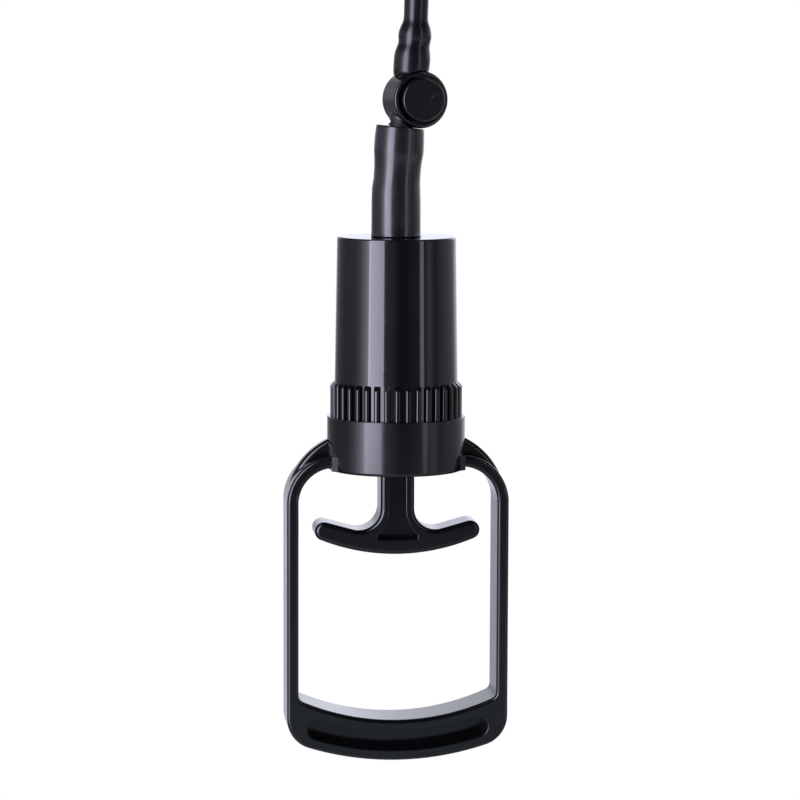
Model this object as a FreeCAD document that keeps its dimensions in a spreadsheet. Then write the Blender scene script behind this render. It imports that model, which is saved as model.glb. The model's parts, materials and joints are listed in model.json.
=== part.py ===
import FreeCAD, Part
import math
import os
import Sketcher
from FreeCAD import Placement, Rotation, Vector

# A one-hand pull-grip pump. The barrel's axis is vertical. The drawing's own height 0 is the
# barrel's top face, the front is -Y, and every sub-part is then placed in the part's frame,
# whose origin is halfway up the plug on the hose's end.

doc = FreeCAD.newDocument("pull_grip_pump")
sheet = doc.addObject("Spreadsheet::Sheet", "Size")

DIMENSIONS = [
    # where the plug stands over the barrel's top face
    ("plug_side", 7.9), ("plug_back", 2.45), ("plug_height", 155),
    # barrel
    ("barrel_top_rad", 21.55), ("barrel_low_rad", 22.35), ("barrel_bore", 19.0),
    ("barrel_height", 65), ("top_plate", 3), ("top_round", 0.6),
    ("skirt_bore", 20.2), ("skirt_start", 55), ("thread_groove", 21.0),
    ("thread_start", 58.9), ("thread_pitch", 3), ("thread_wide", 1.4),
    ("rib_start", 52.4), ("rib_rad", 23.95), ("rib_slope", 1.6), ("rib_half", 1.09),
    ("rib_round", 0.95), ("rib_count", 38),
    ("nozzle_rad", 6.2), ("nozzle_ridge", 6.7), ("nozzle_bore", 4.5), ("nozzle_height", 17),
    ("flap_hole", 1.5), ("port_rad", 0.9), ("port_ring", 3.2),
    # palm frame
    ("collar_rad", 25.1), ("collar_bottom", 84.6), ("collar_floor", 3), ("collar_round", 1.2),
    ("neck_rad", 20.1), ("neck_top", 55.8), ("neck_bore", 18.0), ("thread_ridge", 20.9),
    ("loop_depth", 20), ("loop_half", 40.42), ("bar_width", 4.2), ("loop_round", 1.3),
    ("shoulder_side", 23.3), ("shoulder_height", 96.2), ("shoulder_out", 17.4),
    ("bar_corner", 11.4), ("palm_out", 107), ("palm_low", 190.8),
    ("palm_in", 86), ("palm_top", 175.9), ("palm_centre", 83.4), ("inner_corner", 2.8),
    ("web_rad", 27.2), ("web_side", 13.22), ("web_height", 97.8), ("web_thick", 6.6),
    ("web_start", 20), ("web_round", 2.0), ("root_side", 11.75), ("root_rad", 22.15), ("root_out", 24.3),
    ("step_side", 9), ("step_height", 78.8), ("step_top", 74), ("step_top_side", 3.6),
    ("mark_side", 27.5), ("mark_height", 78.0), ("mark_rad", 1.65), ("mark_deep", 0.25),
    ("slot_ring", 100), ("slot_half", 3.5), ("slot_turn", 17.2), ("slot_web", 2), ("slot_round", 0.5),
    ("stem_hole_wide", 12.7), ("stem_hole_deep", 15.4),
    # finger pull
    ("stem_half", 6.15), ("pull_depth", 15), ("stem_top", 12), ("pull_round", 1.7),
    ("fork_side", 14), ("fork_height", 98.4), ("fork_low", 106.25),
    ("tee_half", 30.1), ("tip_rad", 3.4), ("tee_bottom", 115.2), ("tee_rad", 74),
    ("groove_half", 2.9), ("groove_top", 27), ("groove_web", 4), ("groove_flare", 13.5),
    ("groove_bottom", 109.6), ("groove_foot", 7.9), ("groove_bend", 9.9),
    ("groove_round", 0.5),
    ("pin_mark_rad", 3.1), ("pin_mark_up", 3.4),
    ("spigot_rad", 4.5), ("spigot_top", 8.25), ("screw_hole", 2.0), ("screw_depth", 24),
    # piston and what it carries
    ("piston_top", 4.4), ("piston_rad", 18.5), ("piston_under", 7.6), ("hub_rad", 10.0),
    ("hub_bottom", 8.8), ("cup_rad", 18.93), ("cup_lip", 11.6), ("retainer_rad", 16.9),
    ("screw_rad", 1.95), ("screw_head", 3.8), ("screw_end", 23), ("screw_seat", 6.6),
    ("screw_top", 4.7),
    ("spring_mean", 11.4), ("spring_wire", 0.8), ("spring_turns", 10),
    # release valve, whose own axis is z from its rear face to its rim
    ("valve_rad", 10.3), ("valve_length", 12.3), ("valve_yaw", 14.2), ("valve_lean", 10.19),
    ("valve_side", 5.47), ("valve_back", 8.061), ("valve_height", 49.3),
    ("rim_bore", 8.9), ("rim_floor", 9.0), ("chamber_rad", 4.2), ("chamber_deep", 4.4),
    ("cap_rad", 4.6), ("cap_thick", 0.8), ("guide_bore", 1.7),
    ("passage_side", 3.95), ("passage_mid", 6.3), ("passage_rad", 1.4),
    ("nipple_rad", 4.1), ("nipple_low", 19.4), ("lip_rad", 4.5), ("lip_height", 10.75),
    ("boss_rad", 4.4), ("boss_low", 8.9), ("barb_end", 26.5), ("valve_rear", 1.3), ("valve_round", 0.9),
    ("button_rad", 8.0), ("button_face", 15.2), ("button_skirt", 10.7), ("button_hollow", 13.0),
    ("button_round", 0.7), ("button_stem", 1.2), ("stem_end", 2.6), ("valve_spring_mean", 3.3),
    ("valve_spring_wire", 0.25),
    # rubber sleeve
    ("sleeve_low", 9.1), ("sleeve_waist", 8.7), ("sleeve_bulge", 9.05), ("sleeve_top", 8.8),
    ("sleeve_bore", 3.95),
    # hose and plug
    ("hose_rad", 4.5), ("hose_bore", 2.5), ("flare_rad", 6.5), ("flare_waist", 5.93),
    ("flare_end", 16.2), ("hose_end", 135), ("tail_length", 14), ("tail_ridge", 2.9),
    ("tail_rad", 2.45), ("flange_rad", 6), ("flange_thick", 2),
    ("pin_rad", 4.0), ("pin_length", 12), ("grip_flats", 11), ("plug_bore", 1.6),
    ("ring_wire", 0.9),
]
for row, (name, number) in enumerate(DIMENSIONS, start=1):
    sheet.set(f"A{row}", name)
    sheet.set(f"B{row}", str(number))
    sheet.setAlias(f"B{row}", name)
doc.recompute()


def size(name):
    """The sheet's number of that name."""
    return float(getattr(sheet, name))


def measure(expression):
    """What an expression on the sheet's names comes to."""
    return float(sheet.evalExpression(expression))


PUMP_PLACE = Placement(
    Vector(-size("plug_side"), -size("plug_back"), -size("plug_height")), Rotation()
)
VALVE_TURN = (
    Rotation(Vector(0, 0, 1), size("valve_yaw"))
    * Rotation(Vector(0, 1, 0), size("valve_lean"))
    * Rotation(Vector(1, 0, 0), 90)
)
VALVE_PLACE = PUMP_PLACE * Placement(
    Vector(size("valve_side"), size("valve_back"), size("valve_height")), VALVE_TURN
)
NAMES = {name for name, _ in DIMENSIONS}
sub_parts = []


def keep(item, place=PUMP_PLACE):
    """Name a finished sub-part after its object and put it in its place."""
    item.Label = item.Name
    item.Placement = place
    sub_parts.append(item)
    return item


# ---------------------------------------------------------------- sketch helpers

def role(body, name):
    return next(item for item in body.Origin.OriginFeatures if item.Role == name)


def sketch_on(body, name, plane, lift="0"):
    """An empty sketch on one of the body's origin planes, lifted along the plane's normal."""
    sketch = body.newObject("Sketcher::SketchObject", name)
    sketch.AttachmentSupport = [(role(body, plane), "")]
    sketch.MapMode = "FlatFace"
    sketch.AttachmentOffset = Placement(Vector(0, 0, measure(lift)), Rotation())
    if lift != "0":
        sketch.setExpression("AttachmentOffset.Base.z", bound(lift))
    return sketch


def bound(expression):
    """The expression with the sheet's names written as Size.name, for use outside the sheet."""
    words = []
    word = ""
    for letter in expression + " ":
        if letter.isalpha() or letter == "_":
            word += letter
            continue
        if word in NAMES:
            word = "Size." + word
        words.append(word + letter)
        word = ""
    return "".join(words).strip()


def fix(sketch, shape, point, corner):
    """Bind one end of a sketch's edge to the expressions of a corner."""
    for kind, expression, axis in (("DistanceX", corner[0], -2), ("DistanceY", corner[1], -1)):
        if expression == "0":
            sketch.addConstraint(Sketcher.Constraint("PointOnObject", shape, point, axis))
            continue
        number = measure(expression)
        index = sketch.addConstraint(Sketcher.Constraint(kind, shape, point, number))
        sketch.setExpression(f"Constraints[{index}]", bound(expression))


def arc_between(start, end, radius, side):
    """The short arc from start to end, with its centre on the left (1) or right (-1)."""
    chord = end - start
    reach = math.sqrt(max(radius**2 - (chord.Length / 2) ** 2, 0))
    left = Vector(-chord.y, chord.x, 0).normalize()
    centre = (start + end) / 2 + left * reach * side
    first, last = (start, end) if side > 0 else (end, start)
    turns = [math.atan2(p.y - centre.y, p.x - centre.x) for p in (first, last)]
    if turns[1] < turns[0]:
        turns[1] += 2 * math.pi
    return Part.ArcOfCircle(Part.Circle(centre, Vector(0, 0, 1), radius), *turns)


def outline(sketch, corners):
    """Close a loop through the corners. A corner is two expressions, and where an arc leaves it
    also the arc's radius and the side of its centre."""
    places = [Vector(measure(c[0]), measure(c[1]), 0) for c in corners]
    ends = []
    for number, corner in enumerate(corners):
        start, end = places[number], places[(number + 1) % len(corners)]
        if len(corner) == 2:
            shape = sketch.addGeometry(Part.LineSegment(start, end), False)
            ends.append((shape, 1, 2))
            continue
        radius, side = corner[2], corner[3]
        shape = sketch.addGeometry(arc_between(start, end, measure(radius), side), False)
        ends.append((shape, 1, 2) if side > 0 else (shape, 2, 1))
        index = sketch.addConstraint(Sketcher.Constraint("Radius", shape, measure(radius)))
        sketch.setExpression(f"Constraints[{index}]", bound(radius))
    for number, (shape, start, end) in enumerate(ends):
        after, after_start, _ = ends[(number + 1) % len(ends)]
        sketch.addConstraint(Sketcher.Constraint("Coincident", shape, end, after, after_start))
        fix(sketch, shape, start, corners[number])
    return sketch


def circle(sketch, across, up, radius):
    """A circle by the expressions of its centre and radius."""
    centre = Vector(measure(across), measure(up), 0)
    shape = sketch.addGeometry(Part.Circle(centre, Vector(0, 0, 1), measure(radius)), False)
    index = sketch.addConstraint(Sketcher.Constraint("Radius", shape, measure(radius)))
    sketch.setExpression(f"Constraints[{index}]", bound(radius))
    fix(sketch, shape, 3, (across, up))
    return sketch


def full_loop(half):
    """A closed outline from its right half, whose first and last corners are on the middle."""
    other = []
    for number in range(len(half) - 1, 0, -1):
        across = half[number][0]
        turned = across if across == "0" else f"-({across})"
        other.append((turned, half[number][1]) + tuple(half[number - 1][2:]))
    return half[:-1] + other


# ---------------------------------------------------------------- feature helpers

def new_body(name):
    return doc.addObject("PartDesign::Body", name)


def sized(feature, prop, expression):
    setattr(feature, prop, measure(expression))
    feature.setExpression(prop, bound(expression))


def pad(body, sketch, length, both=False, down=False):
    feature = body.newObject("PartDesign::Pad", sketch.Name + "_pad")
    feature.Profile = sketch
    sized(feature, "Length", length)
    feature.SideType = "Symmetric" if both else "One side"
    feature.Reversed = down
    doc.recompute()
    return feature


def revolve(body, sketch, turn="360", axis=None, cut=False):
    kind = "PartDesign::Groove" if cut else "PartDesign::Revolution"
    before = body.Shape.Volume if cut else 0
    feature = body.newObject(kind, sketch.Name + "_turned")
    feature.Profile = sketch
    feature.ReferenceAxis = axis or (sketch, ["V_Axis"])
    feature.Angle = measure(turn)
    if turn != "360":
        feature.setExpression("Angle", bound(turn))
        feature.Midplane = True
    doc.recompute()
    if cut and body.Shape.Volume >= before:
        raise ValueError(f"{feature.Name} cuts nothing")
    return feature


def pocket(body, sketch, depth=None, up=False):
    """Cut a sketch's shape, against its normal or along it, and check that it cuts."""
    before = body.Shape.Volume
    feature = body.newObject("PartDesign::Pocket", sketch.Name + "_cut")
    feature.Profile = sketch
    feature.Reversed = up
    if depth is None:
        feature.Type = "ThroughAll"
    else:
        sized(feature, "Length", depth)
    doc.recompute()
    if body.Shape.Volume >= before:
        raise ValueError(f"{feature.Name} cuts nothing")
    return feature


def pattern(body, feature, count):
    """Repeat a feature round the vertical axis."""
    ring = body.newObject("PartDesign::PolarPattern", feature.Name + "_ring")
    ring.Originals = [feature]
    ring.Axis = (role(body, "Z_Axis"), [""])
    ring.Angle = 360
    ring.Occurrences = int(measure(count))
    body.Tip = ring
    doc.recompute()
    return ring


def mirror(body, feature):
    """Repeat a feature on the other side of the body's X = 0 plane."""
    other = body.newObject("PartDesign::Mirrored", feature.Name + "_mirror")
    other.Originals = [feature]
    other.MirrorPlane = (role(body, "YZ_Plane"), [""])
    body.Tip = other
    doc.recompute()
    return other


def fillet(body, radius, wanted):
    """Round the edges of the body's shape for which wanted(edge) is true."""
    tip = body.Tip
    names = [f"Edge{n}" for n, edge in enumerate(tip.Shape.Edges, start=1) if wanted(edge)]
    if not names:
        raise ValueError(f"no edge to round on {tip.Name}")
    feature = body.newObject("PartDesign::Fillet", tip.Name + "_round")
    feature.Base = (tip, names)
    sized(feature, "Radius", radius)
    doc.recompute()
    return feature


def turned_body(name, corners, place=PUMP_PLACE):
    """A body turned about the vertical axis from corners of (radius, height)."""
    body = new_body(name)
    revolve(body, outline(sketch_on(body, name + "_section", "XZ_Plane"), corners))
    return keep(body, place)


def drill(body, name, places, radius, lift, depth):
    """Round holes down from a height of the body."""
    sketch = sketch_on(body, name, "XY_Plane", lift)
    for across, back in places:
        circle(sketch, across, back, radius)
    return pocket(body, sketch, depth)


# ---------------------------------------------------------------- barrel

def make_barrel():
    """The cup-shaped chamber with its hose nozzle on top and the ribbed screw ring below."""
    body = new_body("barrel")
    grooves = []
    for top in ("-thread_start", "-thread_start - thread_pitch"):
        grooves += [("skirt_bore", top), ("thread_groove", top),
                    ("thread_groove", f"{top} - thread_wide"),
                    ("skirt_bore", f"{top} - thread_wide")]
    ridges = []
    for foot in ("11", "5"):
        ridges += [("nozzle_rad", f"{foot} + 3.5"), ("nozzle_ridge", f"{foot} + 1"),
                   ("nozzle_rad", foot)]
    section = [
        ("flap_hole", "-top_plate"), ("barrel_bore", "-top_plate"),
        ("barrel_bore", "-skirt_start"), ("skirt_bore", "-skirt_start"), *grooves,
        ("skirt_bore", "-barrel_height"), ("barrel_low_rad", "-barrel_height"),
        ("barrel_low_rad", "-rib_start"),
        ("barrel_top_rad", "-top_round", "top_round", 1),
        ("barrel_top_rad - top_round", "0"), ("nozzle_rad", "0"), *reversed(ridges),
        ("nozzle_rad", "nozzle_height - 0.8"), ("nozzle_rad - 0.8", "nozzle_height"),
        ("nozzle_bore", "nozzle_height"), ("nozzle_bore", "0"), ("flap_hole", "0"),
    ]
    revolve(body, outline(sketch_on(body, "barrel_section", "XZ_Plane"), section))
    rib = outline(sketch_on(body, "rib_section", "XY_Plane", "-barrel_height"), [
        ("barrel_low_rad - 0.4", "-rib_half"),
        ("rib_rad - rib_round", "-rib_half", "rib_round", 1),
        ("rib_rad", "-rib_half + rib_round"),
        ("rib_rad", "rib_half - rib_round", "rib_round", 1),
        ("rib_rad - rib_round", "rib_half"), ("barrel_low_rad - 0.4", "rib_half"),
    ])
    pattern(body, pad(body, rib, "barrel_height - rib_start"), "rib_count")
    slope = outline(sketch_on(body, "rib_slope_section", "XZ_Plane"), [
        ("barrel_low_rad", "-rib_start"),
        ("barrel_low_rad + rib_slope + 1", "-rib_start - rib_slope - 1"),
        ("barrel_low_rad + rib_slope + 1", "-rib_start + 1"),
        ("barrel_low_rad", "-rib_start + 1"),
    ])
    revolve(body, slope, cut=True)
    ports = [("port_ring", "0"), ("-port_ring", "0"), ("0", "port_ring"), ("0", "-port_ring")]
    drill(body, "inlet_ports", ports, "port_rad", "0", "top_plate")
    return keep(body)


# ---------------------------------------------------------------- palm frame

def half_loop(side, shoulder, corner, palm_rad, palm_low):
    """Half of the D, seen from the front, from the collar round to the middle of the palm bar:
    side is its half width, shoulder and corner its radii above and below, and palm_rad and
    palm_low the palm bar's radius and lowest height. The corner is tangent to both bars."""
    palm_mid = f"({palm_low} - {palm_rad})"
    bend_side = f"({side} - {corner})"
    drop = f"sqrt(({palm_rad} - {corner})^2 - {bend_side}^2)"
    grow = f"({palm_rad} / ({palm_rad} - {corner}))"
    return [
        ("0", f"-shoulder_height + {shoulder}"),
        ("shoulder_side", f"-shoulder_height + {shoulder}", shoulder, -1),
        (side, "-shoulder_height"),
        (side, f"-{palm_mid} - {drop}", corner, -1),
        (f"{bend_side} * {grow}", f"-{palm_mid} - {drop} * {grow}", palm_rad, -1),
        ("0", f"-{palm_low}"),
    ]


def make_palm_frame():
    """The collar that the barrel screws into, and the D-shaped loop that the palm pushes on."""
    body = new_body("palm_frame")
    add_webs(body)
    loop = sketch_on(body, "loop_outline", "XZ_Plane")
    outer = half_loop("loop_half", "shoulder_out", "bar_corner", "palm_out", "palm_low")
    inner = half_loop("(loop_half - bar_width)", "(shoulder_out - bar_width)", "inner_corner",
                      "palm_in", "palm_top")
    outline(loop, full_loop(outer))
    outline(loop, full_loop(inner))
    pad(body, loop, "loop_depth", both=True)
    half_depth = size("loop_depth") / 2

    def rim(edge):
        box = edge.BoundBox
        return min(abs(box.YMin - box.YMax), abs(abs(box.YMin) - half_depth)) < 1e-6 and (
            abs(abs(box.YMax) - half_depth) < 1e-6 and box.YLength < 1e-6
        )

    fillet(body, "loop_round", rim)
    ridges = []
    for top in ("-thread_start - thread_pitch - 0.1", "-thread_start - 0.1"):
        ridges += [("neck_rad", f"{top} - thread_wide + 0.2"),
                   ("thread_ridge", f"{top} - thread_wide + 0.2"),
                   ("thread_ridge", top), ("neck_rad", top)]
    collar = outline(sketch_on(body, "collar_section", "XZ_Plane"), [
        ("0", "-collar_bottom"),
        ("collar_rad - collar_round", "-collar_bottom", "collar_round", 1),
        ("collar_rad", "-collar_bottom + collar_round"),
        ("collar_rad", "-barrel_height - 0.3", "0.3", 1),
        ("collar_rad - 0.3", "-barrel_height"), ("neck_rad", "-barrel_height"),
        *ridges, ("neck_rad", "-neck_top - 0.6"),
        ("neck_rad - 0.6", "-neck_top"), ("0", "-neck_top"),
    ])
    revolve(body, collar)
    add_roots(body)
    bore = circle(sketch_on(body, "neck_bore_circle", "XY_Plane", "-neck_top"),
                  "0", "0", "neck_bore")
    pocket(body, bore, "collar_bottom - collar_floor - neck_top")
    hole = rectangle(sketch_on(body, "stem_hole", "XY_Plane", "-collar_bottom + collar_floor"),
                     "stem_hole_wide / 2", "stem_hole_deep / 2")
    pocket(body, hole, "collar_floor")
    cut_palm_slots(body)
    return keep(body)


def rectangle(sketch, half_wide, half_deep):
    """A rectangle round the sketch's origin."""
    return outline(sketch, [
        (f"-({half_wide})", f"-({half_deep})"), (half_wide, f"-({half_deep})"),
        (half_wide, half_deep), (f"-({half_wide})", half_deep),
    ])


def add_webs(body):
    """The thin gussets over the loop's shoulders, with the moulding's round marks on them. They
    start as one plate, whose middle lies inside the collar and is bored away later."""
    top = "-web_height + sqrt(web_rad^2 - (web_start - web_side)^2)"
    low = "-shoulder_height + loop_half - 3 - shoulder_side"
    half = [
        ("0", "-step_height"), ("web_start", "-step_height"), ("web_start", top, "web_rad", -1),
        ("web_side + web_rad", "-web_height"), ("loop_half - 3", "-web_height"),
        ("loop_half - 3", "-shoulder_height", "loop_half - 3 - shoulder_side", 1),
        ("shoulder_side", low), ("0", low),
    ]
    web = outline(sketch_on(body, "web_outline", "XZ_Plane"), full_loop(half))
    pad(body, web, "web_thick", both=True)

    def outer_rim(edge):
        curve = edge.Curve
        curved = isinstance(curve, Part.Circle) and abs(curve.Radius - size("web_rad")) < 1e-6
        return curved and edge.BoundBox.YLength < 1e-6

    fillet(body, "web_round", outer_rim)
    for name, lift, up in (("front_mark", "web_thick / 2 - mark_deep", True),
                           ("rear_mark", "-web_thick / 2 + mark_deep", False)):
        mark = sketch_on(body, name, "XZ_Plane", lift)
        circle(mark, "mark_side", "-mark_height", "mark_rad")
        mirror(body, pocket(body, mark, "mark_deep * 2", up))


def add_roots(body):
    """The blocks that blend the shoulders and the webs into the collar's round side."""
    low = sketch_on(body, "root_block", "XY_Plane", "-collar_bottom + 0.4")
    outline(low, [
        ("15", "-root_side"), ("root_rad", "-root_side"), ("root_out", "-loop_depth / 2"),
        ("root_out", "loop_depth / 2"), ("root_rad", "root_side"), ("15", "root_side"),
    ])
    block = pad(body, low, "collar_bottom - 0.4 - shoulder_height + shoulder_out")
    mirror(body, block)
    for name, height, side, tip in (
            ("web_root_low", "-step_height", "step_side", "web_thick / 2"),
            ("web_root_top", "-step_top", "step_top_side", "web_thick / 2 - 1.2")):
        section = sketch_on(body, name, "XY_Plane", height)
        outline(section, [
            ("web_start", f"-{side}"), ("shoulder_side", f"-{side}"),
            ("root_out + 0.3", f"-({tip})"), ("root_out + 0.3", tip),
            ("shoulder_side", side), ("web_start", side),
        ])
    root = body.newObject("PartDesign::AdditiveLoft", "web_root")
    root.Profile = doc.getObject("web_root_low")
    root.Sections = [doc.getObject("web_root_top")]
    root.Ruled = True
    doc.recompute()
    mirror(body, root)


def cut_palm_slots(body):
    """The long curved pockets that core the palm bar from both faces, leaving a thin web."""
    turn = math.radians(size("slot_turn"))
    across, down = f"{math.sin(turn):.6f}", f"{math.cos(turn):.6f}"
    inner, outer = "(slot_ring - slot_half)", "(slot_ring + slot_half)"
    cap_side = f"slot_ring * {across} + slot_half * {down}"
    cap_height = f"-palm_centre - slot_ring * {down} + slot_half * {across}"
    half = [
        ("0", f"-palm_centre - {inner}", inner, 1),
        (f"{inner} * {across}", f"-palm_centre - {inner} * {down}", "slot_half", -1),
        (cap_side, cap_height, "slot_half", -1),
        (f"{outer} * {across}", f"-palm_centre - {outer} * {down}", outer, -1),
        ("0", f"-palm_centre - {outer}"),
    ]
    corners = full_loop(half)
    for name, lift, up in (("front_slot", "slot_web / 2", True),
                           ("rear_slot", "-slot_web / 2", False)):
        slot = outline(sketch_on(body, name, "XZ_Plane", lift), corners)
        pocket(body, slot, "loop_depth / 2", up)
    radii = (size("slot_ring") - size("slot_half"), size("slot_ring") + size("slot_half"),
             size("slot_half"))

    def rim(edge):
        box = edge.BoundBox
        level = box.YLength < 1e-6 and abs(abs(box.YMax) - size("loop_depth") / 2) < 1e-6
        if not level or not isinstance(edge.Curve, Part.Circle):
            return False
        return any(abs(edge.Curve.Radius - radius) < 1e-6 for radius in radii)

    fillet(body, "slot_round", rim)


# ---------------------------------------------------------------- finger pull

def make_pull_handle():
    """The T that two fingers pull, in one moulding with the stem that runs up to the piston."""
    body = new_body("pull_handle")
    fork = "fork_low - fork_height"
    tip_side = "tee_half - tip_rad"
    tip_height = f"(tee_rad - tee_bottom - sqrt((tee_rad - tip_rad)^2 - ({tip_side})^2))"
    # the arm's upper face is a straight line tangent to the fork's arc and to the tip
    both = f"({fork} + tip_rad)"
    span, drop = f"({tip_side} - fork_side)", f"({tip_height} + fork_height)"
    apart = f"({span}^2 + {drop}^2)"
    run = f"sqrt({apart} - {both}^2)"
    lean_side = f"(({both} * {span} + {run} * {drop}) / {apart})"
    lean_down = f"(({both} * {drop} - {run} * {span}) / {apart})"
    grow = "(tee_rad / (tee_rad - tip_rad))"
    foot_side = f"({tip_side}) * {grow}"
    foot_height = f"tee_rad - tee_bottom + ({tip_height} - tee_rad + tee_bottom) * {grow}"
    half = [
        ("0", "-stem_top"), ("stem_half", "-stem_top"),
        ("stem_half", "-fork_height", fork, 1),
        (f"fork_side + ({fork}) * {lean_side}", f"-fork_height + ({fork}) * {lean_down}"),
        (f"{tip_side} - tip_rad * {lean_side}", f"{tip_height} - tip_rad * {lean_down}",
         "tip_rad", -1),
        (f"{tip_side} + tip_rad", tip_height, "tip_rad", -1),
        (foot_side, foot_height, "tee_rad", -1),
        ("0", "-tee_bottom"),
    ]
    face = outline(sketch_on(body, "tee_outline", "XZ_Plane"), full_loop(half))
    pad(body, face, "pull_depth", both=True)
    half_depth = size("pull_depth") / 2

    def rim(edge):
        box = edge.BoundBox
        level = box.YLength < 1e-6 and abs(abs(box.YMax) - half_depth) < 1e-6
        return level and box.ZMin < -size("stem_top") - 0.01

    fillet(body, "pull_round", rim)
    groove = [
        ("0", "-groove_top"), ("groove_half", "-groove_top"),
        ("groove_half", "-fork_height", "groove_flare", 1),
        ("groove_half + groove_flare - sqrt(groove_flare^2 - groove_bend^2)",
         "-fork_height - groove_bend"),
        ("groove_foot - 0.6", "-groove_bottom"), ("0", "-groove_bottom"),
    ]
    for name, lift, up in (("front_groove", "groove_web / 2", True),
                           ("rear_groove", "-groove_web / 2", False)):
        sketch = outline(sketch_on(body, name, "XZ_Plane", lift), full_loop(groove))
        pocket(body, sketch, "pull_depth / 2", up)

    def groove_rim(edge):
        box = edge.BoundBox
        if box.YLength > 1e-6 or abs(abs(box.YMax) - half_depth) > 1e-6:
            return False
        middle = edge.valueAt((edge.FirstParameter + edge.LastParameter) / 2)
        if middle.z > -size("groove_top") + 1e-3 or middle.z < -size("groove_bottom") - 1e-3:
            return False
        low = middle.z < -size("fork_height") - size("groove_bend")
        return abs(middle.x) < (size("groove_foot") if low else 4.2)

    fillet(body, "groove_round", groove_rim)
    for name, lift, up in (("front_pin_mark", "groove_web / 2 - mark_deep", True),
                           ("rear_pin_mark", "-groove_web / 2 + mark_deep", False)):
        mark = circle(sketch_on(body, name, "XZ_Plane", lift),
                      "0", "-groove_bottom + pin_mark_up", "pin_mark_rad")
        pocket(body, mark, "mark_deep * 2", up)
    spigot = circle(sketch_on(body, "spigot", "XY_Plane", "-stem_top"), "0", "0", "spigot_rad")
    pad(body, spigot, "stem_top - spigot_top")
    drill(body, "screw_hole_circle", [("0", "0")], "screw_hole", "-spigot_top",
          "screw_depth - spigot_top")
    return keep(body)


# ---------------------------------------------------------------- piston and seals

def make_piston():
    body = new_body("piston")
    section = outline(sketch_on(body, "piston_section", "XZ_Plane"), [
        ("screw_head + 0.4", "-piston_top"), ("screw_head + 0.4", "-screw_seat"),
        ("screw_hole + 0.1", "-screw_seat"), ("screw_hole + 0.1", "-spigot_top + 0.05"),
        ("spigot_rad + 0.1", "-spigot_top + 0.05"), ("spigot_rad + 0.1", "-hub_bottom"),
        ("hub_rad", "-hub_bottom"),
        ("hub_rad", "-piston_under"), ("piston_rad", "-piston_under"),
        ("piston_rad", "-piston_top - 0.4"), ("piston_rad - 0.4", "-piston_top"),
    ])
    revolve(body, section)
    ports = [("7.2", "0"), ("-7.2", "0"), ("0", "7.2"), ("0", "-7.2")]
    drill(body, "piston_ports", ports, "1", "-piston_top", "hub_bottom - piston_top")
    return keep(body)


def make_piston_seals():
    """The lip seal, the plate that clamps it, and the flap that lets air out past the piston."""
    turned_body("cup_seal", [
        ("hub_rad + 0.05", "-hub_bottom"), ("17.6", "-hub_bottom"), ("18.3", "-cup_lip"),
        ("cup_rad", "-cup_lip"), ("cup_rad", "-piston_under - 0.8"),
        ("cup_rad - 0.35", "-piston_under"), ("hub_rad + 0.05", "-piston_under"),
    ])
    body = new_body("seal_retainer")
    section = outline(sketch_on(body, "retainer_section", "XZ_Plane"), [
        ("spigot_rad + 0.1", "-stem_top"), ("retainer_rad", "-stem_top"),
        ("retainer_rad", "-hub_bottom"),
        ("hub_rad - 0.2", "-hub_bottom"), ("hub_rad - 0.2", "-10.6"), ("5.6", "-10.6"),
        ("5.6", "-9.4"), ("spigot_rad + 0.1", "-9.4"),
    ])
    revolve(body, section)
    drill(body, "retainer_ports", [("7.7", "0"), ("-7.7", "0")], "1", "-10.6", "stem_top - 10.6")
    keep(body)
    turned_body("exhaust_flap", [
        ("spigot_rad + 0.2", "-hub_bottom - 0.55"), ("9.3", "-hub_bottom - 0.55"),
        ("9.3", "-hub_bottom"), ("spigot_rad + 0.2", "-hub_bottom"),
    ])
    turned_body("inlet_flap", [
        ("0", "-top_plate - 0.7"), ("6", "-top_plate - 0.5"), ("6", "-top_plate"),
        ("flap_hole - 0.1", "-top_plate"), ("flap_hole - 0.1", "0"), ("2.1", "0"),
        ("1.2", "1.6"), ("0", "1.6"),
    ])


def make_piston_screw():
    """The self-tapping screw that clamps the piston's stack onto the stem."""
    body = new_body("piston_screw")
    revolve(body, outline(sketch_on(body, "screw_section", "XZ_Plane"), [
        ("0", "-screw_end"), ("0.3", "-screw_end"), ("screw_rad", "-screw_end + 3"),
        ("screw_rad", "-screw_seat"), ("screw_head", "-screw_seat"),
        ("screw_head", "-screw_top - 0.7"), ("screw_head - 0.8", "-screw_top"),
        ("0", "-screw_top"),
    ]))
    cross = sketch_on(body, "cross_recess", "XY_Plane", "-screw_top")
    outline(cross, [
        ("0.5", "0.5"), ("0.5", "2"), ("-0.5", "2"), ("-0.5", "0.5"), ("-2", "0.5"),
        ("-2", "-0.5"), ("-0.5", "-0.5"), ("-0.5", "-2"), ("0.5", "-2"), ("0.5", "-0.5"),
        ("2", "-0.5"), ("2", "0.5"),
    ])
    pocket(body, cross, "1.1")
    return keep(body)


def make_coil(name, mean, wire, low, top, turns, place):
    """A coil spring of round wire between two heights."""
    body = new_body(name)
    section = sketch_on(body, name + "_wire", "XZ_Plane")
    circle(section, mean, f"{low} + {wire}", wire)
    coil = body.newObject("PartDesign::AdditiveHelix", name + "_coil")
    coil.Profile = section
    coil.ReferenceAxis = (section, ["V_Axis"])
    coil.Mode = "height-turns-angle"
    sized(coil, "Height", f"{top} - ({low}) - 2 * {wire}")
    sized(coil, "Turns", turns)
    doc.recompute()
    return keep(body, place)


# ---------------------------------------------------------------- release valve

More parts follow.
